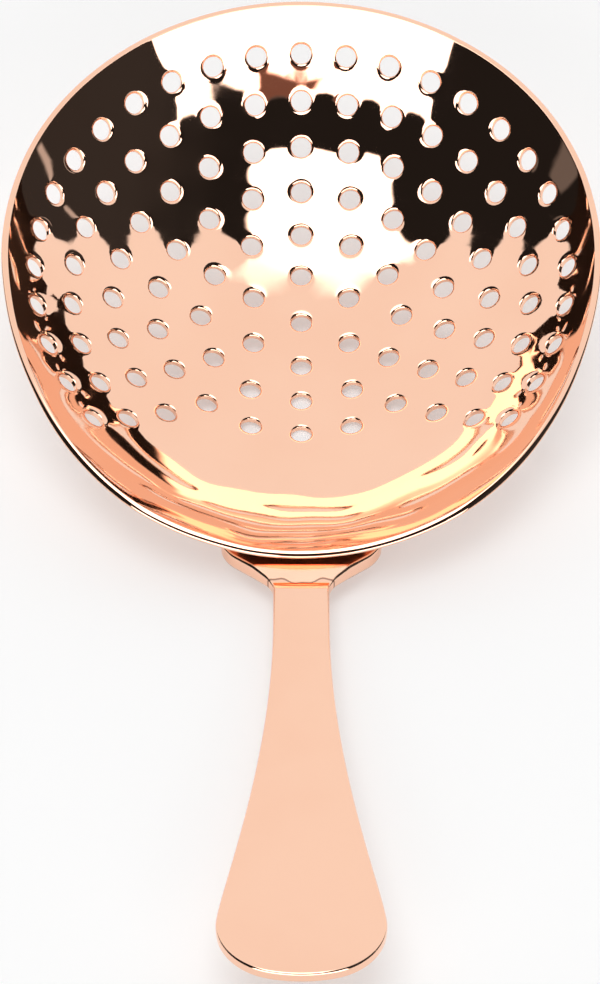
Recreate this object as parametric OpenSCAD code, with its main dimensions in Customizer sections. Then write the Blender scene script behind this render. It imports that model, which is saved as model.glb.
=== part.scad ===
// Cocktail strainer: a perforated sheet-metal bowl with a flat handle welded under its rim.
// The strainer lies on a table on the underside of its bowl, +Z up, with its handle towards -Y.
// The origin is on the table, under the middle of the strainer's length and width.

/* [Bowl] */
// Width of the bowl inside the rim, across its centre hole
rim_w = 78; // [74:0.5:82]
// Length of the bowl inside, from its centre hole to the rim on the handle's side
near_len = 45.2; // [43:0.1:49]
// Length of the bowl inside, from its centre hole to the rim on the far side
far_len = 39.8; // [38:0.1:42]
// Depth of the bowl inside, from the rim to the centre hole
bowl_depth = 16.9; // [15.5:0.1:18.5]
// Angle that the rim's plane rises towards the far side, against the sheet at the centre hole, in degrees
rim_tilt = 4; // [2:0.5:6]
// Radius of the shallow middle of the bowl, inside
cap_r = 59.7; // [57:0.1:63]
// Length of the shallow middle along the sheet, from the centre hole to where the wall turns up
cap_len = 23.1; // [22:0.1:24.2]
// Thickness of the sheet
sheet = 1; // [0.7:0.05:1.3]

/* [Drain holes] */
// Diameter of a drain hole
hole_d = 2.8; // [2:0.1:3.2]
// Distance along the sheet from the centre hole to the first ring of holes
first_ring = 7.5; // [6.8:0.1:8.2]
// Distance along the sheet from one ring of holes to the next
ring_pitch = 6.25; // [6:0.05:6.4]
// Number of rings of holes round the centre hole
rings = 6; // [3:1:6]
// Number of rings that go all the way round
full_rings = 3; // [1:1:4]
// Angle either side of the far end at which the other rings stop, in degrees
fan_angle = 136; // [100:2:148]

/* [Handle] */
// Length of the handle from the bowl's wall to its end
handle_len = 79.3; // [67:0.1:91]
// Thickness of the handle
handle_t = 1.5; // [1.2:0.1:2.2]
// Angle at which the handle rises, against the sheet at the centre hole, in degrees
handle_rise = 18; // [12:0.5:24]
// Depth of the handle's top face below the rim where it meets the bowl
handle_drop = 4.8; // [4.2:0.1:5.2]
// Width of the neck
neck_w = 7.2; // [5:0.1:10]
// Distance from the bowl's wall at which the neck starts to flare
neck_len = 17.6; // [15:0.1:21]
// Length over which the flare leaves the neck
neck_ease = 26.5; // [15:0.5:34]
// Length over which the flare turns into the wide end
end_ease = 4.5; // [3:0.5:10]
// Width of the wide end
end_w = 20.1; // [17:0.1:24]
// Radius of the rounded end
end_r = 16.5; // [15:0.5:24]
// Radius of the corners of the end
corner_r = 8; // [5:0.1:8.4]

/* [Root of the handle] */
// Width over the two ears of the root
ear_w = 20.8; // [18:0.1:23]
// Angle between an ear's edge and the handle's axis, in degrees
ear_angle = 50; // [40:1:60]
// Fillet between an ear and the neck
ear_fillet = 3.5; // [2:0.1:4]
// Distance from the bowl's wall at which the neck starts to widen into the ears
ear_len = 11.1; // [10:0.1:12.5]
// Radius of the hollow end of the root, which follows the bowl's wall
root_bend = 13.3; // [12:0.1:16]
// Length by which the root is tucked under the wall
root_lap = 1; // [0.5:0.1:2]
// Radius of the weld bead under the wall, along the end of the root
weld_r = 1.3; // [0.8:0.1:1.8]
// Length of the bare ear left at each end of the weld bead
weld_end = 1.2; // [0.5:0.1:2.5]

/* [Rest] */
// Angle that the sheet at the centre hole leans towards the handle when the strainer lies on a table
rest_tilt = 12.3; // [9:0.1:16]

/* [Hidden] */

// The sheet's inside in section: a shallow cap, then a tighter wall up to the rim.
// The wall's arc is tangent to the cap and passes through the rim. Its radius is a whole number of microns.
rim_r = rim_w / 2;
cap_angle = cap_len / cap_r * 180 / PI;
rim_away = norm([rim_r, cap_r - bowl_depth]);
rim_along = rim_r * sin(cap_angle) + (cap_r - bowl_depth) * cos(cap_angle);
wall_true = (rim_away * rim_away - 2 * cap_r * rim_along + cap_r * cap_r) / (2 * (cap_r - rim_along));
wall_r = round(1000 * wall_true) / 1000;
wall_x = (cap_r - wall_r) * sin(cap_angle);
wall_z = cap_r - (cap_r - wall_r) * cos(cap_angle);

// Distance from the axis, at a height, of the wall's surface that lies skin outside the sheet's inside
function wall_at(z, skin) = wall_x + sqrt(pow(wall_r + skin, 2) - pow(z - wall_z, 2));

// Height of the rim's plane above the centre hole
function rim_z(y) = bowl_depth + y * tan(rim_tilt);

// How far the side of that surface with its rim at end_y is stretched along Y.
// It gives the sheet its full thickness at the rim, square to the wall.
function stretch(end_y, skin) =
    let (z = rim_z(end_y), radius = wall_at(z, 0), k = abs(end_y) / radius,
        slope = atan2(radius - wall_x, (wall_z - z) * k))
    (abs(end_y) + skin / sin(slope)) / wall_at(z, skin);

near_in = stretch(-near_len, 0);
far_in = stretch(far_len, 0);
near_out = stretch(-near_len, sheet);
far_out = stretch(far_len, sheet);

// Slope of the inside at a distance along the sheet from the centre
function slope_at(arc) =
    arc < cap_len ? arc / cap_r * 180 / PI : cap_angle + (arc - cap_len) / wall_r * 180 / PI;

// Distance from the bowl's axis of the point on the inside with a given slope
function radius_at(slope) =
    slope < cap_angle ? cap_r * sin(slope) : wall_x + wall_r * sin(slope);

// The inverse of radius_at
function slope_of(radius) =
    radius < cap_r * sin(cap_angle) ? asin(radius / cap_r) : asin((radius - wall_x) / wall_r);

// Height of the inside above the centre, where it has a given slope
function height_at(slope) =
    slope < cap_angle ? cap_r * (1 - cos(slope)) : wall_z - wall_r * cos(slope);

// Where the handle's top face meets the outside of the bowl
root_z = rim_z(-near_len) - handle_drop;
root_rho = wall_at(root_z, sheet);
root_y = -root_rho * near_out;

// The wide end of the handle: a corner arc that is tangent to the end arc and to the side
end_c = handle_len - end_r;
corner_x = end_w / 2 - corner_r;
corner_d = end_c + sqrt(pow(end_r - corner_r, 2) - corner_x * corner_x);
corner_turn = asin(corner_x / (end_r - corner_r));

// Half of the angle that the weld bead takes up on the hollow end of the root
weld_half_angle = asin((ear_w / 2 - weld_end) / root_bend);

// Where the outside of the far wall meets the plane of the rim
rim_rise = far_out * tan(rim_tilt);
rim_a = 1 + rim_rise * rim_rise;
rim_b = rim_rise * (bowl_depth - wall_z) - wall_x;
rim_c = wall_x * wall_x + pow(bowl_depth - wall_z, 2) - pow(wall_r + sheet, 2);
rim_far = far_out * (sqrt(rim_b * rim_b - rim_a * rim_c) - rim_b) / rim_a;

// Extents of the strainer as it lies, before it is set on the origin
lie = rest_tilt - handle_rise;
low_z = cap_r * cos(rest_tilt) - (cap_r + sheet) * norm([near_out * sin(rest_tilt), cos(rest_tilt)]);
far_y = rim_far * cos(rest_tilt) - rim_z(rim_far) * sin(rest_tilt);
tip_y = root_y * cos(rest_tilt) - root_z * sin(rest_tilt) - handle_len * cos(lie)
    + min(0, handle_t * sin(lie));
mid_y = (far_y + tip_y) / 2;

// Length by which a cutting solid runs past the piece that it cuts
over = 0.5;
// Height of the bowl's walls before the rim is trimmed
untrimmed = rim_z(rim_far) + over;
// Number of straight steps along an arc and along the flare
steps = 12;
copper = [0.93, 0.66, 0.54];
weld_copper = [0.85, 0.56, 0.44];
$fn = 180;

// Points on an arc of radius r about c, from angle a to angle b
function arc(c, r, a, b) =
    [for (i = [0:steps]) let (t = a + (b - a) * i / steps) c + r * [cos(t), sin(t)]];

// Points on a cubic curve with end points a and d and control points b and c
function curve(a, b, c, d) =
    [for (i = [0:steps]) let (t = i / steps, u = 1 - t)
        u * u * u * a + 3 * u * u * t * b + 3 * u * t * t * c + t * t * t * d];

// Lays the strainer on the table, above the origin
module lie_on_table() {
    translate([0, -mid_y, -low_z])
        rotate([rest_tilt, 0, 0])
            children();
}

// Sets a piece at the root, with +Z off the handle's top face and -Y along the handle
module at_root() {
    translate([0, root_y, root_z])
        rotate([-handle_rise, 0, 0])
            children();
}

// Half section of the space inside a surface that lies skin outside the sheet's inside.
// The cap and the wall meet on the line through their centres, which is turned onto the X axis.
module dish_section(skin, top) {
    wide = 2 * cap_r;
    intersection() {
        translate([0, cap_r])
            rotate(cap_angle - 90) {
                intersection() {
                    circle(cap_r + skin);
                    translate([-wide, -wide]) square([2 * wide, wide]);
                }
                intersection() {
                    translate([cap_r - wall_r, 0]) circle(wall_r + skin);
                    translate([-wide, 0]) square([2 * wide, wide]);
                }
            }
        translate([0, -skin - over]) square([rim_w, top + skin + over]);
    }
}

// The egg-shaped space inside that surface, with its handle's side drawn out longer than its far side
module egg(skin, top) {
    scale([1, stretch(far_len, skin), 1])
        rotate_extrude(angle = 180) dish_section(skin, top);
    rotate([0, 0, 180])
        scale([1, stretch(-near_len, skin), 1])
            rotate_extrude(angle = 180) dish_section(skin, top);
}

// Everything above the plane of the rim
module above_rim() {
    translate([0, 0, bowl_depth])
        rotate([rim_tilt, 0, 0])
            translate([-rim_w, -2 * near_len, 0])
                cube([2 * rim_w, 4 * near_len, rim_w]);
}

// One hole, square to the sheet at plan position x, y
module drain_hole(x, y) {
    k = y < 0 ? near_in : far_in;
    radius = norm([x, y / k]);
    slope = slope_of(radius);
    fall = radius > 0 ? tan(slope) / radius * [x, y / k / k] : [0, 0];
    translate([x, y, height_at(slope)])
        rotate([0, atan(norm(fall)), atan2(-fall[1], -fall[0])])
            translate([0, 0, -sheet - over])
                cylinder(d = hole_d, h = sheet + 2 * over, $fn = 32);
}

// The rings of holes: ring k has 6k places, and the outer rings leave a blank towards the handle
module drain_holes() {
    drain_hole(0, 0);
    for (k = [1:rings]) {
        radius = radius_at(slope_at(first_ring + (k - 1) * ring_pitch));
        for (i = [-3 * k + 1:3 * k]) {
            angle = i * 60 / k;
            if (k <= full_rings || abs(angle) <= fan_angle)
                drain_hole(radius * sin(angle), radius * cos(angle));
        }
    }
}

// Right half of the handle's outline, from the ear under the bowl's wall to the middle of the end
function half_outline() =
    let (neck = neck_w / 2, ear = ear_w / 2, side = end_w / 2,
        fillet = arc([neck + ear_fillet, -ear_len], ear_fillet, 180 - ear_angle, 180),
        ear_y = fillet[0][1] + (ear - fillet[0][0]) / tan(ear_angle))
    concat(
        [[ear, root_lap + root_bend], [ear, ear_y]],
        fillet,
        curve([neck, -neck_len], [neck, -neck_len - neck_ease],
            [side, -corner_d + end_ease], [side, -corner_d]),
        arc([corner_x, -corner_d], corner_r, 0, corner_turn - 90),
        arc([0, -end_c], end_r, corner_turn - 90, -90));

// Sets a piece at the middle of the arc that hollows the end of the root
module at_root_arc() {
    at_root()
        translate([0, root_bend + root_lap, 0])
            children();
}

module handle_blank() {
    right = half_outline();
    left = [for (i = [len(right) - 1:-1:0]) [-right[i][0], right[i][1]]];
    difference() {
        at_root()
            translate([0, 0, -handle_t])
                linear_extrude(handle_t)
                    polygon(concat(right, left));
        at_root_arc()
            translate([0, 0, -handle_t - over])
                cylinder(r = root_bend, h = handle_t + 2 * over);
    }
}

module bowl() {
    color(copper)
        lie_on_table()
            difference() {
                egg(sheet, untrimmed);
                egg(0, untrimmed + over);
                above_rim();
                drain_holes();
            }
}

module handle() {
    color(copper)
        lie_on_table()
            difference() {
                handle_blank();
                egg(sheet, untrimmed);
            }
}

module root_weld() {
    color(weld_copper)
        lie_on_table()
            difference() {
                at_root_arc()
                    translate([0, 0, weld_r - handle_t])
                        rotate([0, 0, -90 - weld_half_angle])
                            rotate_extrude(angle = 2 * weld_half_angle)
                                intersection() {
                                    translate([root_bend, 0]) circle(weld_r);
                                    translate([root_bend - weld_r, -weld_r]) square([weld_r, 2 * weld_r]);
                                }
                egg(sheet, untrimmed);
            }
}

bowl();
handle();
root_weld();
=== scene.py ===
# %% [markdown]
# # A perforated cocktail strainer in polished copper plate
# The strainer is a pressed bowl full of drain holes, a flat handle and a weld bead under the handle's root.
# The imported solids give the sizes. This lesson makes finer meshes over them, because a mirror finish shows
# every facet, and then gives them a plate, a studio and a camera.

# %% Load the frame
import math

import bmesh
import bpy
import numpy as np
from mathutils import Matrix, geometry


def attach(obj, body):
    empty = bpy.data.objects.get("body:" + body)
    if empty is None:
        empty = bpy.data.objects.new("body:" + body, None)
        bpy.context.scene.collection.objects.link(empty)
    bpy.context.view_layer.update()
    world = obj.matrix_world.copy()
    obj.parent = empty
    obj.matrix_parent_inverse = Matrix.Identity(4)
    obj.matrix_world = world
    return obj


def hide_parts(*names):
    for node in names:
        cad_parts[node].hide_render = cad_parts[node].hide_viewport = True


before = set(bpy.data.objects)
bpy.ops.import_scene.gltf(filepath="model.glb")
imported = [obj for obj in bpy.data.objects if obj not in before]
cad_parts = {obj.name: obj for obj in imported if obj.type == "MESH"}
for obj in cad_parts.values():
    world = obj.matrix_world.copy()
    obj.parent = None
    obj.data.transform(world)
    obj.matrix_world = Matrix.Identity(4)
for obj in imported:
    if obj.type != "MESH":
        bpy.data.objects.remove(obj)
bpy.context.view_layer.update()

# %% [markdown]
# The sizes are the ones that the solids were made with, in millimetres. They could be measured from the
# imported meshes, but a mirror wants an exact curve, so the curve is written again here from its own sizes.
# The strainer is drawn with its centre hole at zero, and `TILT` and `CENTRE` say how it lies on the table.

# %% Sizes of the strainer
RIM_R = 39.0
NEAR_LEN = 45.2
FAR_LEN = 39.8
DEPTH = 16.9
SHEET = 1.0
RIM_TILT = math.radians(4)
CAP_R = 59.7
CAP_LEN = 23.1
HOLE_R = 1.4
FIRST_RING = 7.5
RING_PITCH = 6.25
RINGS = 6
FULL_RINGS = 3
FAN = 136
HANDLE_LEN = 79.3
HANDLE_T = 1.5
RISE = math.radians(18)
DROP = 4.8
TILT = math.radians(12.3)
CENTRE = np.array([0, 42.2060, 3.1142])
print("rim", 2 * RIM_R, "mm wide inside,", HANDLE_LEN, "mm handle")

# %% [markdown]
# The pressed sheet is shallow in the middle and turns up more tightly at the wall. Two arcs make the same
# section, but their join shows as a kink in a reflection. So the slope is eased from one arc into the other
# over a few millimetres, and the section is summed up from the slope.

# %% The bowl's section
EASE = 3.0
GRID_PAST = 10
GRID_POINTS = 6001
cap_angle = CAP_LEN / CAP_R
to_rim = np.array([RIM_R, DEPTH - CAP_R])
along = to_rim @ (math.sin(cap_angle), -math.cos(cap_angle))
WALL_R = (to_rim @ to_rim - 2 * CAP_R * along + CAP_R**2) / (2 * (CAP_R - along))
wall_x = (CAP_R - WALL_R) * math.sin(cap_angle)
wall_z = CAP_R - (CAP_R - WALL_R) * math.cos(cap_angle)
ARC = CAP_LEN + WALL_R * (math.atan2(RIM_R - wall_x, wall_z - DEPTH) - cap_angle)
arc_grid = np.linspace(0, ARC + GRID_PAST, GRID_POINTS)
turned = EASE * np.logaddexp(0, (arc_grid - CAP_LEN) / EASE)
slope_grid = arc_grid / CAP_R + (1 / WALL_R - 1 / CAP_R) * turned
half_way, step = (slope_grid[1:] + slope_grid[:-1]) / 2, arc_grid[1]
radius_grid = np.concatenate([[0], np.cumsum(np.cos(half_way)) * step])
height_grid = np.concatenate([[0], np.cumsum(np.sin(half_way)) * step])
radius_grid *= RIM_R / np.interp(ARC, arc_grid, radius_grid)
height_grid *= DEPTH / np.interp(ARC, arc_grid, height_grid)
print("wall radius %.2f mm, %.1f mm along the sheet to the rim" % (WALL_R, ARC))

# %% [markdown]
# Seen from above, the far side of the bowl is nearly round and the handle's side is drawn out. A point of
# the sheet is named by its place on the sheet rolled out flat, (u, v): its distance from the centre hole and
# its direction stay true. This turns the work of placing holes into plain drawing on a disc. A real pressing
# bulges a little where it is drawn out most, so `fuller` pushes the top of that wall outwards. The cosine of
# a direction is 1 at the far end, 0 at the sides and -1 at the handle.

# %% From the flat sheet to the bowl
SIDE_BLEND = 0.18
FULLER, FULLER_FROM, FULLER_RUN = 0.7, 30, 15
rim_far = DEPTH + FAR_LEN * math.tan(RIM_TILT)
rim_near = DEPTH - NEAR_LEN * math.tan(RIM_TILT)
FAR = FAR_LEN / np.interp(rim_far, height_grid, radius_grid)
NEAR = NEAR_LEN / np.interp(rim_near, height_grid, radius_grid)


def unit(v):
    return v / np.maximum(np.linalg.norm(v, axis=-1, keepdims=True), 1e-12)


def eased(t):
    t = np.clip(t, 0, 1)
    return t * t * (3 - 2 * t)


def stretch(cosine):
    return FAR + (NEAR - FAR) * 0.5 * (1 - np.tanh(cosine / SIDE_BLEND))


def fuller(cosine, arc):
    near_handle = eased((-0.35 - cosine) / 0.5)
    return FULLER * near_handle * np.maximum((arc - FULLER_FROM) / FULLER_RUN, 0) ** 2


def pressed(flat):
    arc = np.hypot(flat[:, 0], flat[:, 1])
    safe = np.maximum(arc, 1e-9)
    sine, cosine = flat[:, 0] / safe, flat[:, 1] / safe
    radius = np.interp(arc, arc_grid, radius_grid)
    plan = np.stack([radius * sine, radius * cosine * stretch(cosine)], 1)
    plan = plan + unit(plan) * fuller(cosine, arc)[:, None]
    return np.column_stack([plan, np.interp(arc, arc_grid, height_grid)])


print("sheet drawn out %.3f times towards the handle, %.3f away from it" % (NEAR, FAR))

# %% [markdown]
# A mirror is only as good as its normals, so the direction that the sheet faces is needed at any point. It
# could be averaged from the faces of a mesh, but it is truer to take two tiny steps on the flat sheet and
# cross the slopes that they give on the bowl.

# %% Which way the sheet faces
TINY_STEP = 2e-3


def slopes(surface, flat):
    du = surface(flat + (TINY_STEP, 0)) - surface(flat - (TINY_STEP, 0))
    dv = surface(flat + (0, TINY_STEP)) - surface(flat - (0, TINY_STEP))
    return du / (2 * TINY_STEP), dv / (2 * TINY_STEP)


def facing(surface, flat):
    du, dv = slopes(surface, flat)
    return unit(np.cross(du, dv))


print("the middle of the bowl faces", facing(pressed, np.zeros((1, 2)))[0].round(3))

# %% [markdown]
# The rim is trimmed in a plane that rises a little towards the far side. So the wall is higher at the far
# end, and the place of the trim on the flat sheet is found for each direction by halving. A pressed rim is
# never quite flat: along the sides this one stands more than a millimetre proud of the plane, and less at
# both ends, which `proud` adds to the trim.

# %% Where the rim is trimmed
RIM_SIDES = 288
PROUD_FAR, PROUD_SIDE, PROUD_BACK, PROUD_DIP = 0.15, 0.9, 0.7, 1.0
SURELY_BELOW = 20.0


def proud(cosine):
    sides = PROUD_SIDE * eased((0.25 - cosine) / 0.5) + PROUD_BACK * eased((-0.1 - cosine) / 0.6)
    return PROUD_FAR + sides - PROUD_DIP * eased((-0.8 - cosine) / 0.2)


bearing = np.arange(RIM_SIDES) * 2 * math.pi / RIM_SIDES
compass = np.stack([np.sin(bearing), np.cos(bearing)], 1)
below, beyond = np.full(RIM_SIDES, SURELY_BELOW), np.full(RIM_SIDES, arc_grid[-1])
for _ in range(40):
    middle = (below + beyond) / 2
    at = pressed(middle[:, None] * compass)
    above = at[:, 2] > DEPTH + at[:, 1] * math.tan(RIM_TILT)
    below, beyond = np.where(above, below, middle), np.where(above, middle, beyond)
extra = proud(np.cos(bearing))
rim_arc = below + extra
rim_end = rim_arc[:, None] * compass
bulge = fuller(np.cos(bearing), rim_arc).max()
print("rim %.2f to %.2f mm along the sheet" % (rim_arc.min(), rim_arc.max()))
print("proud by %.2f to %.2f mm, fuller by up to %.2f mm" % (extra.min(), extra.max(), bulge))

# %% [markdown]
# The drain holes are punched in rings of 6, 12, 18 and so on before the sheet is pressed. The outer rings
# stop short of the handle. The solids place them by their plan, so each hole is found again on the flat
# sheet.

# %% Drain holes
def on_sheet(x, y):
    v = y
    for _ in range(60):
        v = y / stretch(np.array(v / max(math.hypot(x, v), 1e-9)))
    radius = math.hypot(x, v)
    arc = float(np.interp(radius, radius_grid, arc_grid))
    return (x, v) if radius < 1e-9 else (x * arc / radius, float(v) * arc / radius)


hole_plan = [(0.0, 0.0)]
for ring in range(1, RINGS + 1):
    away = float(np.interp(FIRST_RING + (ring - 1) * RING_PITCH, arc_grid, radius_grid))
    for i in range(-3 * ring + 1, 3 * ring + 1):
        turn = i * 60 / ring
        if ring <= FULL_RINGS or abs(turn) <= FAN:
            hole_plan.append((away * math.sin(math.radians(turn)), away * math.cos(math.radians(turn))))
holes = np.array([on_sheet(x, y) for x, y in hole_plan])
hole_at = pressed(holes)
hole_axis = facing(pressed, holes)
print(len(holes), "drain holes")

# %% [markdown]
# A polishing wheel rounds the edge of each hole and drags the metal round it into a shallow dish, and it
# leaves the whole sheet very slightly uneven. Both are what make reflections in real polished sheet wander.
# A bump texture could fake that, but here it is real shape, a few hundredths of a millimetre deep. Each
# ripple is a height, two wave numbers across the flat sheet and a shift.

# %% Worn lips and an uneven sheet
LIP_DEPTH, LIP_LEN, DISH_DEPTH, DISH_LEN = 0.20, 0.16, 0.055, 1.15
LIP_UNDER, INTO_HOLE = 0.6, -0.3
RIPPLES = [
    (0.020, 0.31, 0.22, 0.4), (0.018, -0.27, 0.36, 2.1), (0.012, 0.52, -0.18, 4.0),
    (0.008, 0.12, 0.55, 1.2), (0.003, 0.83, 0.42, 5.3), (0.003, -0.71, 0.66, 3.3),
]


def hole_gap(base):
    return np.min([np.linalg.norm(base - at, axis=1) for at in hole_at], axis=0) - HOLE_R


def uneven(flat):
    return sum(a * np.sin(p * flat[:, 0] + q * flat[:, 1] + shift) for a, p, q, shift in RIPPLES)


def inside(flat):
    base = pressed(flat)
    past = np.maximum(hole_gap(base), INTO_HOLE)
    worn = LIP_DEPTH * np.exp(-past / LIP_LEN) + DISH_DEPTH * np.exp(-past / DISH_LEN)
    return base - facing(pressed, flat) * (worn + uneven(flat))[:, None]


def outside(flat):
    base = pressed(flat)
    past = np.maximum(hole_gap(base), INTO_HOLE)
    lip = LIP_UNDER * LIP_DEPTH * np.exp(-past / LIP_LEN)
    return base - facing(pressed, flat) * (SHEET - lip + uneven(flat))[:, None]


print("lips %.2f mm deep, dishes %.3f mm" % (LIP_DEPTH, DISH_DEPTH))

# %% [markdown]
# Each hole gets a set of rings of points, close together at its lip. A boolean cut would leave long thin
# triangles that spoil the mirror. The rings are true circles in space, so each point is moved on the flat
# sheet until it lies on its circle.

# %% Rings of points round the holes
RING_GAPS = np.array([0, 0.04, 0.10, 0.18, 0.30, 0.48, 0.72, 1.00, 1.30])
SIDES = 24
angle = np.arange(SIDES) * 2 * math.pi / SIDES


def ring_points(k):
    side = unit(np.cross(hole_axis[k], (1.0, 0.0, 0.0)))
    across = np.cross(side, hole_axis[k])
    away = (HOLE_R + RING_GAPS)[:, None]
    want = np.stack([away * np.cos(angle), away * np.sin(angle)], -1).reshape(-1, 2)
    du, dv = slopes(pressed, holes[k : k + 1])
    grid = np.array([[du[0] @ across, dv[0] @ across], [du[0] @ side, dv[0] @ side]])
    undo = np.linalg.inv(grid)
    flat = holes[k] + want @ undo.T
    for _ in range(4):
        off = pressed(flat) - hole_at[k]
        flat = flat + (want - np.stack([off @ across, off @ side], 1)) @ undo.T
    return flat


ring_flat = np.concatenate([ring_points(k) for k in range(len(holes))])
print(len(ring_flat), "points round the holes")

# %% [markdown]
# The plain sheet between the holes needs points too. They are laid in staggered rows, as bricks are, because
# rows of equal triangles bend smoothly. Points too near a hole's rings or the rim are left out.

# %% Points between the holes
RIM_STRIP, SPACING, ROW_STEP = 1.2, 1.25, 0.866
RIM_CLEAR, RING_CLEAR = 0.7, 0.55
rim_flat = rim_end - RIM_STRIP * compass
lanes = np.arange(-46, 47)
scatter = np.array(
    [(SPACING * (i + 0.5 * (j % 2)), SPACING * ROW_STEP * j) for j in lanes for i in lanes]
)
reach = np.interp(np.arctan2(scatter[:, 0], scatter[:, 1]), bearing, rim_arc, period=2 * math.pi)
scatter = scatter[np.hypot(scatter[:, 0], scatter[:, 1]) < reach - RIM_STRIP - RIM_CLEAR]
scatter = scatter[hole_gap(pressed(scatter)) > RING_GAPS[-1] + RING_CLEAR]
flat = np.concatenate([ring_flat, scatter, rim_flat])
print(len(scatter), "points between the holes,", len(flat), "in all")

# %% [markdown]
# The flat sheet is cut into triangles that keep to the hole edges and the rim. Filling by hand would take
# long, and Blender's constrained Delaunay does it in one call. It also fills the holes, so triangles that
# lie wholly inside one hole are dropped.

# %% Triangles between the holes
NO_MERGE = 1e-6
per_hole = len(RING_GAPS) * SIDES
outer_ring = [[k * per_hole + per_hole - SIDES + i for i in range(SIDES)] for k in range(len(holes))]
rim_ring = [len(flat) - RIM_SIDES + i for i in range(RIM_SIDES)]
hem = [(r[i], r[(i + 1) % len(r)]) for r in outer_ring + [rim_ring] for i in range(len(r))]
used = sorted({i for r in outer_ring for i in r} | set(range(len(ring_flat), len(flat))))
slot_of = {v: i for i, v in enumerate(used)}
hem = [(slot_of[a], slot_of[b]) for a, b in hem]
cut = geometry.delaunay_2d_cdt([tuple(flat[i]) for i in used], hem, [], 0, NO_MERGE)
back = [used[came[0]] for came in cut[3]]


def hole_of(i):
    return i // per_hole if i < len(ring_flat) else -1 - i


web = [[back[i] for i in f] for f in cut[2]]
web = [f for f in web if len({hole_of(i) for i in f}) > 1]
print(len(web), "triangles between the holes")

# %% [markdown]
# The edge of the rim is polished too, and shows as a pale line all round the bowl. A plain bevel would show
# hard lines in it, so the section is three arcs that run into each other: a small inner edge, a gently
# crowned land and a rounder outer edge. It is written as turns, and summed up over the arcs.

# %% Section of the rim
INNER_EDGE, OUTER_EDGE = 0.15, 0.28
INNER_END, LAND_END = 4, 8
turn_at = np.radians([0, 13, 26, 39, 52, 59, 66, 73, 80, 96, 112, 129, 146, 163, 180])
inner_turn, land_turn = turn_at[INNER_END], turn_at[LAND_END]
land = SHEET - INNER_EDGE * (1 - math.cos(inner_turn)) - OUTER_EDGE * (1 + math.cos(land_turn))
land /= math.cos(inner_turn) - math.cos(land_turn)
past_inner = np.where(turn_at[1:] <= land_turn, land, OUTER_EDGE)
bend = np.where(turn_at[1:] <= inner_turn, INNER_EDGE, past_inner)
rim_rise = np.concatenate([[0], np.cumsum(bend * np.diff(np.sin(turn_at)))])
rim_across = np.concatenate([[0], np.cumsum(bend * -np.diff(np.cos(turn_at)))])
rim_section = list(zip(rim_rise - rim_rise.max(), rim_across, turn_at))
print(len(rim_section), "points in the rim's section, land bent to %.2f mm" % land)

# %% [markdown]
# Both skins of the sheet use the same points, one set a sheet's thickness under the other. The lips are
# joined through the sheet by short straight walls, as a punch leaves them, and the rim's section is swept
# round the trim.

# %% Skins, hole walls and rim
WALL_STEPS = (0.15, 0.85)
skin_in, skin_out = inside(flat), outside(flat)
face_in, face_out = facing(inside, flat), -facing(outside, flat)
count = len(flat)
lip = np.array([[k * per_hole + i for i in range(SIDES)] for k in range(len(holes))])
radial = unit(hole_at[:, None] - pressed(flat[lip.ravel()]).reshape(lip.shape + (3,)))
walls = [skin_in[lip] * (1 - t) + skin_out[lip] * t for t in WALL_STEPS]
rim_at, rim_in = inside(rim_end), facing(inside, rim_end)
rim_along = unit(np.roll(rim_at, -1, 0) - np.roll(rim_at, 1, 0))
rim_up = unit(np.cross(rim_in, rim_along))
rim_up *= np.sign(rim_up[:, 2:])
rim_loops = [rim_at + rim_up * h - rim_in * w for h, w, t in rim_section]
rim_face = [rim_in * math.cos(t) + rim_up * math.sin(t) for h, w, t in rim_section]
points = np.concatenate([skin_in, skin_out] + [w.reshape(-1, 3) for w in walls] + rim_loops)
faces_to = np.concatenate([face_in, face_out] + [radial.reshape(-1, 3)] * 2 + rim_face)
print(len(points), "points in the bowl, rim strip", RIM_STRIP, "mm tall")

# %% [markdown]
# The points are joined into one closed skin: the web between the holes on both sides, bands of four-sided
# faces round each hole and down its wall, and bands round the rim. Bands are used wherever points run in
# rings, because they follow the curve and stay even.

# %% Faces of the bowl
def band(low, high):
    n = len(low)
    return [(low[i], low[(i + 1) % n], high[(i + 1) % n], high[i]) for i in range(n)]


bowl_faces = [tuple(f) for f in web] + [tuple(i + count for i in reversed(f)) for f in web]
for k in range(len(holes)):
    rings = [[k * per_hole + r * SIDES + i for i in range(SIDES)] for r in range(len(RING_GAPS))]
    for low, high in zip(rings, rings[1:]):
        bowl_faces += [tuple(reversed(f)) for f in band(low, high)]
        bowl_faces += [tuple(i + count for i in f) for f in band(low, high)]
    ladder = [rings[0]]
    ladder += [[2 * count + w * lip.size + k * SIDES + i for i in range(SIDES)] for w in range(2)]
    ladder += [[i + count for i in rings[0]]]
    for low, high in zip(ladder, ladder[1:]):
        bowl_faces += band(low, high)
first_rim = 2 * count + 2 * lip.size
ladder = [rim_ring]
ladder += [[first_rim + r * RIM_SIDES + i for i in range(RIM_SIDES)] for r in range(len(rim_section))]
ladder += [[i + count for i in rim_ring]]
for low, high in zip(ladder, ladder[1:]):
    bowl_faces += [tuple(reversed(f)) for f in band(low, high)]
print(len(bowl_faces), "faces in the bowl")

# %% [markdown]
# The strainer lies on its bowl, leaning towards its handle, so every point is turned and set on the table.
# Blender could work out the normals, but here they come from the curve itself and are handed over, which
# keeps the mirror free of facets. The place on the flat sheet is kept as a UV map for the finish.

# %% Lay it on the table
UV_LENGTH = 100
lean = np.array([[1, 0, 0], [0, math.cos(TILT), -math.sin(TILT)], [0, math.sin(TILT), math.cos(TILT)]])


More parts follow.
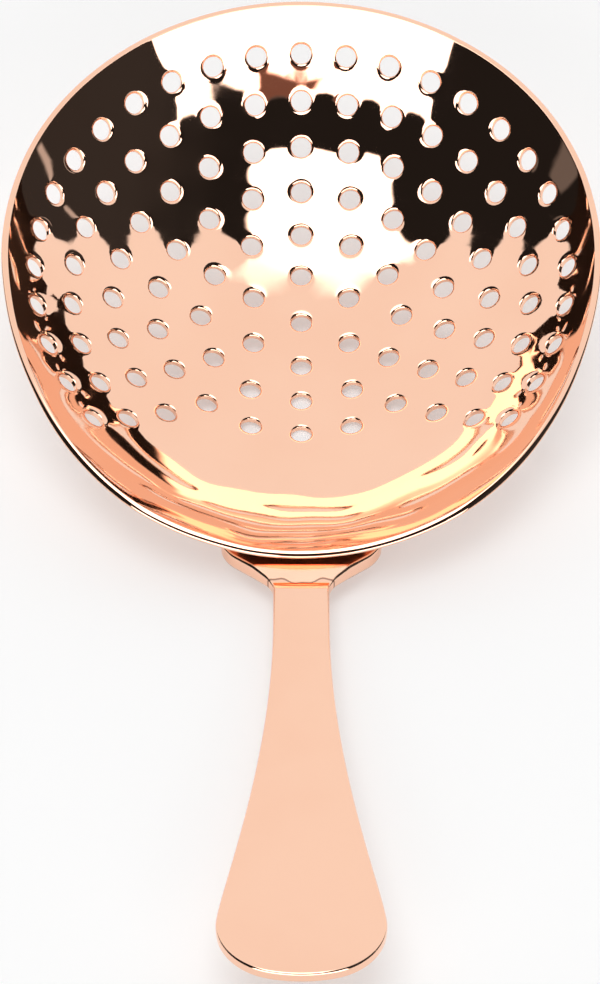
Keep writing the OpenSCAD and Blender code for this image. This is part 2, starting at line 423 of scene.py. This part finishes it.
def make_piece(name, points, faces, normals, coords=None):
    mesh = bpy.data.meshes.new(name)
    mesh.from_pydata((((points @ lean.T) + CENTRE) / 1000).tolist(), [], faces)
    shape = bmesh.new()
    shape.from_mesh(mesh)
    bmesh.ops.recalc_face_normals(shape, faces=shape.faces)
    shape.to_mesh(mesh)
    shape.free()
    mesh.shade_smooth()
    if coords is not None:
        layer = mesh.uv_layers.new(name="sheet")
        corner = np.empty(len(mesh.loops), np.int32)
        mesh.loops.foreach_get("vertex_index", corner)
        layer.data.foreach_set("uv", coords[corner].astype(np.float32).ravel())
    mesh.normals_split_custom_set_from_vertices((normals @ lean.T).tolist())
    piece = bpy.data.objects.new(name, mesh)
    bpy.context.collection.objects.link(piece)
    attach(piece, "root")
    return piece


arcs = np.concatenate([flat, flat, flat[lip.ravel()], flat[lip.ravel()]] + [rim_flat] * len(rim_section))
bowl = make_piece("pressed_bowl", points, bowl_faces, faces_to, arcs / UV_LENGTH + 0.5)
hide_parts("bowl")
print("bowl laid at", CENTRE, "mm")

# %% [markdown]
# The handle is stamped from flat strip, with a narrow neck that flares to a broad rounded end. A handful of
# points under a smoothing modifier would come close, but arcs and one Bezier curve give the sizes exactly.
# Only the right side is drawn, as distances across and along from the root.

# %% Neck and end of the handle
NECK, SIDE, END_R, CORNER_R = 3.6, 10.05, 16.5, 8.0
NECK_LEN, NECK_EASE, END_EASE = 17.6, 26.5, 4.5


def arc_run(c, r, a, b, n):
    t = np.linspace(a, b, n)
    return np.stack([c[0] + r * np.cos(t), c[1] + r * np.sin(t)], 1)


end_c = HANDLE_LEN - END_R
corner_x = SIDE - CORNER_R
corner_d = end_c + math.sqrt((END_R - CORNER_R) ** 2 - corner_x**2)
corner_turn = math.asin(corner_x / (END_R - CORNER_R))
t = np.linspace(0, 1, 40)[:, None]
flare = (1 - t) ** 3 * (NECK, NECK_LEN) + 3 * (1 - t) ** 2 * t * (NECK, NECK_LEN + NECK_EASE)
flare = flare + 3 * (1 - t) * t**2 * (SIDE, corner_d - END_EASE) + t**3 * (SIDE, corner_d)
corner = arc_run((corner_x, corner_d), CORNER_R, 0, math.pi / 2 - corner_turn, 20)[1:]
tip = arc_run((0, end_c), END_R, math.pi / 2 - corner_turn, math.pi / 2, 14)[1:]
print("neck", 2 * NECK, "mm wide, end", 2 * SIDE, "mm wide")

# %% [markdown]
# At the root the strip spreads into two ears, which give the weld a longer seam. Their edges are straight
# and slanted, with a fillet into the neck and rounded tips, so they are a line between two arcs.

# %% Ears of the handle
EAR, EAR_LEN, EAR_FILLET, EAR_R, EAR_TURN = 10.4, 11.1, 3.5, 5.0, math.radians(50)
fillet = arc_run((NECK + EAR_FILLET, EAR_LEN), EAR_FILLET, math.pi + EAR_TURN, math.pi, 12)
ear_d = fillet[0, 1] - (EAR - fillet[0, 0]) / math.tan(EAR_TURN)
ear_edge = np.linspace((EAR, ear_d), fillet[0], 16)[1:-1]
ear_tip = arc_run((EAR - EAR_R, ear_d - EAR_R * math.tan(EAR_TURN / 2)), EAR_R, 0, EAR_TURN, 14)
ear_edge = ear_edge[ear_edge[:, 0] < ear_tip[-1, 0] - 0.1]
neck = np.linspace((NECK, EAR_LEN), (NECK, NECK_LEN), 8)[1:-1]
right = np.concatenate([ear_tip, ear_edge, fillet, neck, flare, corner, tip])
print(len(right), "points down one side, end at", right[-1].round(2))

# %% [markdown]
# The end of the root is hollowed to follow the bowl and is tucked a little way under the wall. It could be
# cut with the bowl's own mesh, but one arc is cleaner. The top of the plate touches the wall there, and goes
# a fraction of a millimetre into it, where the sheet hides it.

# %% Root of the handle
ROOT_BEND, ROOT_LAP = 13.3, 1.0
rim_slope = math.atan2(NEAR_LEN / NEAR - wall_x, (wall_z - rim_near) * NEAR)
rim_outer = wall_x + math.sqrt((WALL_R + SHEET) ** 2 - (rim_near - wall_z) ** 2)
NEAR_OUT = (NEAR_LEN + SHEET / math.sin(rim_slope)) / rim_outer


def outer_wall(x, height):
    radius = wall_x + np.sqrt((WALL_R + SHEET) ** 2 - (height - wall_z) ** 2)
    return -NEAR_OUT * np.sqrt(np.maximum(radius**2 - x**2, 0))


root_z = rim_near - DROP
root_y = float(outer_wall(0, root_z))
root_x = np.linspace(-EAR, EAR, 41)
hollow = np.column_stack([root_x, np.sqrt(ROOT_BEND**2 - root_x**2)])
root = hollow - (0, ROOT_BEND + ROOT_LAP)
left = right[-2::-1] * (-1, 1)
flanks = np.concatenate([right, left])
outline = np.concatenate([flanks, root])
print("root at", round(root_y, 3), round(root_z, 3), "ears end", root[0].round(2))

# %% [markdown]
# Stamping leaves sharp edges, which the maker rounds over on a wheel. A bevel modifier would also do this,
# but here each loop of points is set in from the outline along a quarter circle, above and below, so that
# the exact normals are known too. The hollow end stays square, because the bowl hides it.

# %% Rounded edges of the handle
EDGE = 0.42
quarter = np.linspace(0, math.pi / 2, 7)


def outward(loop):
    ahead = unit(np.roll(loop, -1, 0) - loop)
    behind = unit(loop - np.roll(loop, 1, 0))
    n = unit(np.stack([ahead[:, 1] + behind[:, 1], -ahead[:, 0] - behind[:, 0]], 1))
    square = np.stack([ahead[:, 1], -ahead[:, 0]], 1)
    return n / np.maximum((n * square).sum(1, keepdims=True), 0.5), n


mitre, edge_out = outward(outline)
mitre, edge_out = mitre[: len(flanks)], edge_out[: len(flanks)]
edge_out = np.concatenate([edge_out, -hollow / ROOT_BEND])
over = [(EDGE * (1 - math.sin(a)), -EDGE * (1 - math.cos(a)), a) for a in quarter]
under = [(EDGE * (1 - math.cos(a)), EDGE * (1 - math.sin(a)) - HANDLE_T, math.pi / 2 + a) for a in quarter]
loops, turns = [], []
for inset, level, a in over + under:
    loop = np.concatenate([flanks - mitre * inset, root * ((EAR - inset) / EAR, 1)])
    loops.append(np.column_stack([loop, np.full(len(loop), level)]))
    turns.append(np.column_stack([edge_out * math.sin(a), np.full(len(loop), math.cos(a))]))
print(len(loops), "loops round the edge")

# %% [markdown]
# On top, the metal swells a little where it was drawn up to the wall. One flat face can't show that, so the
# top is laid in rows from edge to edge, and rows on the swelling are lifted and leaned back.

# %% Top of the handle
SWELL, SWELL_FROM, SWELL_TO, COLUMNS = 0.9, 9.5, 7.1, 12
SWELL_END, SWELL_FADE = 1.6, 2.5
LEAN_STEP, TOP_FACING = 0.01, 0.9


def swell(d):
    up = np.clip((SWELL_FROM - d) / (SWELL_FROM - SWELL_TO), 0, 1)
    return SWELL * up * eased((d - SWELL_END) / SWELL_FADE)


last = len(right) - 1


def mate(i):
    return 2 * last - i


share = np.linspace(0, 1, COLUMNS + 1)[1:-1, None]
rows = [loops[0][i] * (1 - share) + loops[0][mate(i)] * share for i in range(last)]
local = np.concatenate(loops + rows)
fall = (swell(local[:, 1] - LEAN_STEP) - swell(local[:, 1] + LEAN_STEP)) / (2 * LEAN_STEP)
leaned = unit(np.column_stack([0 * fall, fall, 1 + 0 * fall]))
turned_to = np.concatenate(turns + [np.tile((0, 0, 1.0), (len(rows) * (COLUMNS - 1), 1))])
turned_to = np.where(turned_to[:, 2:] > TOP_FACING, leaned, turned_to)
local[:, 2] += swell(local[:, 1]) * (1 + local[:, 2] / HANDLE_T)
print(len(rows), "rows on top, swelling", SWELL, "mm high")

# %% [markdown]
# The handle's points are in its own frame: across, along and up from its top face. The whole is turned about
# the root before it is laid on the table with the bowl, because it is easier to draw flat than at a slant.

# %% Handle mesh
UV_ROOT = (0.5, 0.1)


def at_root(local, place=True):
    x, d, h = local[:, 0], local[:, 1], local[:, 2]
    y = -d * math.cos(RISE) + h * math.sin(RISE)
    z = d * math.sin(RISE) + h * math.cos(RISE)
    return np.stack([x, y + root_y * place, z + root_z * place], 1)


n, inner = len(outline), COLUMNS - 1
first_row = len(loops) * n
row_ids = []
for i in range(last):
    start = first_row + i * inner
    row_ids.append([i, *range(start, start + inner), mate(i)])
handle_faces = [
    (a[j], a[j + 1], b[j + 1], b[j]) for a, b in zip(row_ids, row_ids[1:]) for j in range(COLUMNS)
]
handle_faces += [(*row_ids[-1], last), (*range(len(flanks), n), *row_ids[0])]
handle_faces += [tuple(reversed(range((len(loops) - 1) * n, len(loops) * n)))]
for r in range(len(loops) - 1):
    handle_faces += band([r * n + i for i in range(n)], [(r + 1) * n + i for i in range(n)])
handle_uv = local[:, :2] / UV_LENGTH + UV_ROOT
handle = make_piece("stamped_handle", at_root(local), handle_faces, at_root(turned_to, False), handle_uv)
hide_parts("handle")
print(len(handle_faces), "faces in the handle")

# %% [markdown]
# The weld fills the corner under the wall, along the hollow end of the root. A torch leaves small ripples
# along the bead, which a plain tube wouldn't have, so it is a swept half-round whose size ripples and which
# thins at both ends. What would go through the wall is held back inside the sheet.

# %% Weld bead
WELD_R, WELD_END, RIPPLE, RIPPLE_RATE, BURIED = 1.3, 1.2, 0.05, 34, 0.4
WELD_STEPS, END_THIN, END_POWER = 97, 0.5, 12
half_run = math.asin((EAR - WELD_END) / ROOT_BEND)
bead = np.radians(np.linspace(-97, 80, 25))
bead_section = [(math.cos(a), math.sin(a)) for a in bead] + [(-0.4, 0.6), (-0.4, -0.8)]
weld_points = []
for t in np.linspace(-half_run, half_run, WELD_STEPS):
    thin = 1 - END_THIN * abs(t / half_run) ** END_POWER
    size = WELD_R * thin * (1 + RIPPLE * abs(math.sin(RIPPLE_RATE * t)))
    for a, b in bead_section:
        far = ROOT_BEND - size * a
        root_d = far * math.cos(t) - ROOT_BEND - ROOT_LAP
        weld_points.append((far * math.sin(t), root_d, size * (1 + b) - HANDLE_T))
m = len(bead_section)
weld_faces = [tuple(reversed(range(m))), tuple(range(len(weld_points) - m, len(weld_points)))]
for i in range(WELD_STEPS - 1):
    weld_faces += band([i * m + j for j in range(m)], [(i + 1) * m + j for j in range(m)])
weld_points = at_root(np.array(weld_points))
held_at = outer_wall(weld_points[:, 0], weld_points[:, 2]) + BURIED
weld_points[:, 1] = np.minimum(weld_points[:, 1], held_at)
weld = make_piece("root_weld_bead", weld_points, weld_faces, np.zeros_like(weld_points))
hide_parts("root_weld")
print(len(weld_faces), "faces in the weld")

# %% [markdown]
# A finish is a tree of nodes, and linking them one by one is hard to read. Shader maths reads best as plain
# sums, so this small class wraps a node's output: `1 - mask` or `a * b + c` adds the Math nodes by itself,
# and one method adds every other kind of node.

# %% Shader sums
class Wire:
    def __init__(self, tree, socket):
        self.tree, self.socket = tree, socket

    def node(self, kind, settings=None, sockets=None, out=0):
        made = self.tree.nodes.new(kind)
        for key, value in (settings or {}).items():
            setattr(made, key, value)
        for key, value in (sockets or {}).items():
            if isinstance(value, Wire):
                self.tree.links.new(value.socket, made.inputs[key])
            else:
                made.inputs[key].default_value = value
        return Wire(self.tree, made.outputs[out] if len(made.outputs) else None)

    def sum(self, operation, a, b=0.0, c=0.0):
        return self.node("ShaderNodeMath", {"operation": operation}, {0: a, 1: b, 2: c})

    def __add__(self, b):
        return self.sum("ADD", self, b)

    def __sub__(self, b):
        return self.sum("SUBTRACT", self, b)

    def __rsub__(self, b):
        return self.sum("SUBTRACT", b, self)

    def __mul__(self, b):
        return self.sum("MULTIPLY", self, b)

    def __truediv__(self, b):
        return self.sum("DIVIDE", self, b)

    def __rtruediv__(self, b):
        return self.sum("DIVIDE", b, self)

    def __abs__(self):
        return self.sum("ABSOLUTE", self)

    def __neg__(self):
        return self.sum("SUBTRACT", 0.0, self)

    def between(self, low, high):
        made = {"interpolation_type": "SMOOTHSTEP"}
        return self.node("ShaderNodeMapRange", made, {0: self, 1: low, 2: high, 3: 0.0, 4: 1.0})

    def mix(self, share, first, second):
        return self.node("ShaderNodeMix", {"data_type": "RGBA"}, {0: share, 6: first, 7: second}, out=2)

    __radd__, __rmul__ = __add__, __mul__


def blank(tree):
    tree.nodes.clear()
    return Wire(tree, None)


print("shader sums ready")

# %% [markdown]
# The finish is a thin copper plate over polished steel. A mirror metal has no colour of its own other than
# the tint of its reflection, so the plate is a metallic surface with a warm tint. Fine polishing lines and
# faint smears change its roughness, and the tint is a touch redder where the plate is thicker. On the handle,
# the root beside the weld is made rougher, and painted shade lays a thin wavy dark line along the swelling's
# crease.

# %% Copper plate
# The third tint is the dark colour of the painted shade along the handle's crease.
TINT, PALE_TINT, CREASE_SHADE_TINT = (0.955, 0.585, 0.420, 1), (0.972, 0.612, 0.446, 1), (0.16, 0.06, 0.04, 1)
POLISH, SMEARED, HAIR_LINES = 0.028, 0.02, 0.014
CREASE_SHADE_D, CREASE_SHADE_DARK, ROOT_DULL_AND_SHADE = 9.3, 6, 0.12
crease_shade_at = CREASE_SHADE_D / UV_LENGTH + UV_ROOT[1]


def copper_plate(name, lines, dull_and_shade=0.0):
    material = bpy.data.materials.new(name)
    material.use_nodes = True
    g = blank(material.node_tree)
    sheet = g.node("ShaderNodeTexCoord", out=2)
    solid = g.node("ShaderNodeTexCoord", out=3)
    smear = g.node("ShaderNodeTexNoise", None, {"Vector": solid, "Scale": 55.0, "Detail": 3.0})
    drawn = g.node("ShaderNodeMapping", None, {"Vector": sheet, "Scale": lines})
    hair = g.node("ShaderNodeTexNoise", None, {"Vector": drawn, "Scale": 1.0, "Detail": 4.0})
    tint = g.mix(smear.between(0.3, 0.7), TINT, PALE_TINT)
    rough = POLISH + SMEARED * smear.between(0.45, 0.75) + HAIR_LINES * hair.between(0.5, 0.8)
    if dull_and_shade:
        side, along = [g.node("ShaderNodeSeparateXYZ", None, {0: sheet}, out=i) for i in range(2)]
        wave = g.sum("COSINE", (side - 0.5) * 95.0) * 0.0035 + g.sum("SINE", side * 260.0) * 0.0012
        past = along - crease_shade_at - wave
        # Painted shade: darkens the tint in a thin wavy line along the crease where the handle's swelling
        # starts.
        painted_crease_shade = dull_and_shade * CREASE_SHADE_DARK * (1 - abs(past).between(0.0004, 0.0018))
        tint = g.mix(painted_crease_shade, tint, CREASE_SHADE_TINT)
        rough = rough + dull_and_shade * (1 - past.between(-0.004, 0.004))
    relief = g.node("ShaderNodeBump", None, {"Strength": 0.05, "Distance": 0.00002, "Height": hair})
    look = {"Base Color": tint, "Metallic": 1.0, "Roughness": rough, "Normal": relief}
    metal = g.node("ShaderNodeBsdfPrincipled", None, look)
    g.node("ShaderNodeOutputMaterial", None, {"Surface": metal})
    return material


bowl.data.materials.append(copper_plate("plate_bowl", (60, 60, 60)))
handle.data.materials.append(copper_plate("plate_handle", (900, 30, 60), ROOT_DULL_AND_SHADE))
weld.data.materials.append(copper_plate("plate_weld", (60, 60, 60)))
print("plates", [m.name for m in bpy.data.materials if m.name.startswith("plate")])

# %% [markdown]
# The strainer lies on a plain white table. The table is white paper that shows a soft shadow, and part of
# its white is plain glow for the camera and for reflections, so that it reads as a bright studio sweep
# without any more light on the strainer. It lies a hair lower than zero, clear of the bowl's ripples.

# %% White table
TABLE_R, TABLE_Z, PAPER, GLOW = 3.0, -0.0001, 0.92, 0.35
SEEN_RAYS = ("Is Camera Ray", "Is Glossy Ray", "Is Transmission Ray")
bpy.ops.mesh.primitive_circle_add(vertices=96, radius=TABLE_R, fill_type="NGON", location=(0, 0, TABLE_Z))
table = bpy.context.object
table.name = "white_table"
paper = bpy.data.materials.new("white_paper")
paper.use_nodes = True
g = blank(paper.node_tree)
rays = [g.node("ShaderNodeLightPath", out=name) for name in SEEN_RAYS]
seen = g.sum("MINIMUM", rays[0] + rays[1] + rays[2], 1.0)
matt = g.node("ShaderNodeBsdfDiffuse", None, {"Color": (PAPER, PAPER, PAPER, 1)})
glow = g.node("ShaderNodeEmission", None, {"Color": (1, 1, 1, 1), "Strength": 1.0})
paper_top = g.node("ShaderNodeMixShader", None, {0: GLOW * seen, 1: matt, 2: glow})
g.node("ShaderNodeOutputMaterial", None, {"Surface": paper_top})
table.data.materials.append(paper)
print("table", table.dimensions[:])

# %% [markdown]
# A mirror needs a room to reflect. Walls and lamps could be built as meshes, but a room painted on the world
# by direction costs no time to render and lights the table too. A direction has three parts, x, y and z, and
# a thing in the room is a mask over a range of them. `sideways` and `up` help to place things behind
# the camera and overhead.

# %% Directions in the room
world = bpy.data.worlds.new("studio")
bpy.context.scene.world = world
world.use_nodes = True
g = blank(world.node_tree)
towards = g.node("ShaderNodeTexCoord", out=0)
x, y, z = [g.node("ShaderNodeSeparateXYZ", None, {0: towards}, out=i) for i in range(3)]
up = g.sum("MAXIMUM", z, 0.001)
front = (-y).between(0.0, 0.1)
sideways = x / g.sum("MAXIMUM", -y, 0.001)


def around(value, middle, half, soft):
    return (half - abs(value - middle)).between(-soft, soft)


print("directions ready")

# %% [markdown]
# The studio is white, with a dark doorway behind the camera that makes the deep brown in the bowl. A bright
# low panel stands in it, notched by a shelf, and a soft box hangs overhead and fades towards the far side.

# %% Doorway and lights
DOOR_EDGE, DOOR_LEAN = 0.62, 0.664
DOOR_DARK, DOOR_PALER = 0.985, 0.022
PANEL_TOP, SHELF_LOW = 0.578, 0.53
BOX_HALF, BOX_NEAR, BOX_LOW = 0.345, 0.608, 0.2
doorway = (DOOR_EDGE - DOOR_LEAN * z - y).between(-0.008, 0.008)
shelf = around(sideways, 0.42, 0.23, 0.02) * (z - SHELF_LOW).between(-0.01, 0.01)
panel = around(sideways, -0.05, 1.02, 0.01) * (PANEL_TOP - z).between(-0.01, 0.01)
panel = panel * front * (1 - shelf)
box_x = (BOX_HALF - abs(x / up + 0.105)).between(-0.01, 0.03)
box_y = (y / up + BOX_NEAR).between(-0.01, 0.02) * (1 - (y / up).between(0.036, 0.267))
box = box_x * box_y * (z - BOX_LOW).between(0.0, 0.05)
level = 1.0 - (DOOR_DARK - DOOR_PALER * x.between(0.3, 0.8)) * doorway
print("a doorway, a panel with a shelf and a soft box")

# %% [markdown]
# A few plain things stand about in the doorway, and they show as small shapes on the wall of the bowl: a
# brown chair, a stand on the left and a pole on the right. Each is a mask, a level and, for the chair, a
# brown tint.

# %% Things that stand about
CHAIR_LOW, CHAIR_TOP, CHAIR_BROWN = 0.485, 0.61, (1, 0.5, 0.38, 1)
chair = around(sideways, 0.07, 0.2, 0.02) * front
chair = chair * (z - CHAIR_LOW).between(-0.01, 0.02) * (CHAIR_TOP - z).between(-0.02, 0.02)
stand = around(y, 0.145, 0.085, 0.02) * (-x).between(0.5, 0.6) * around(z, 0.2, 0.14, 0.02)
pole = around(y - 0.3 * z, 0.035, 0.018, 0.012) * x.between(0.5, 0.6) * around(z, 0.27, 0.17, 0.02)
for mask, bright in ((panel, 3.0), (box, 3.2), (chair, 0.2), (stand, 0.15), (pole, 0.55)):
    level = level + (bright - level) * mask
shade = g.mix(chair, (1, 1, 1, 1), CHAIR_BROWN)
room = g.node("ShaderNodeBackground", None, {"Color": shade, "Strength": level})
g.node("ShaderNodeOutputWorld", None, {"Surface": room})
print("a chair, a stand and a pole")

# %% [markdown]
# The camera stands over the end of the handle and looks down into the bowl with a long lens, as for a
# catalogue picture. A long lens keeps the bowl's outline true. Its focal length is given in pixels of the
# finished picture, and the sensor's size turns it into millimetres. A new camera looks straight down, and
# `RAISED` lifts its gaze from there.

# %% Camera
FOCAL_PIXELS, PICTURE_PIXELS, SENSOR = 4200, 984, 36
EYE, RAISED = (-0.00017, -0.38287, 0.39103), math.radians(45.301)
lens = bpy.data.cameras.new("camera")
lens.lens = FOCAL_PIXELS / PICTURE_PIXELS * SENSOR
lens.clip_start, lens.clip_end = 0.01, 20
camera = bpy.data.objects.new("camera", lens)
bpy.context.collection.objects.link(camera)
camera.location = EYE
camera.rotation_euler = (RAISED, 0, 0)
bpy.context.scene.camera = camera
bpy.context.scene.view_settings.view_transform = "Standard"
print("camera", camera.location[:], "lens", round(lens.lens, 1))
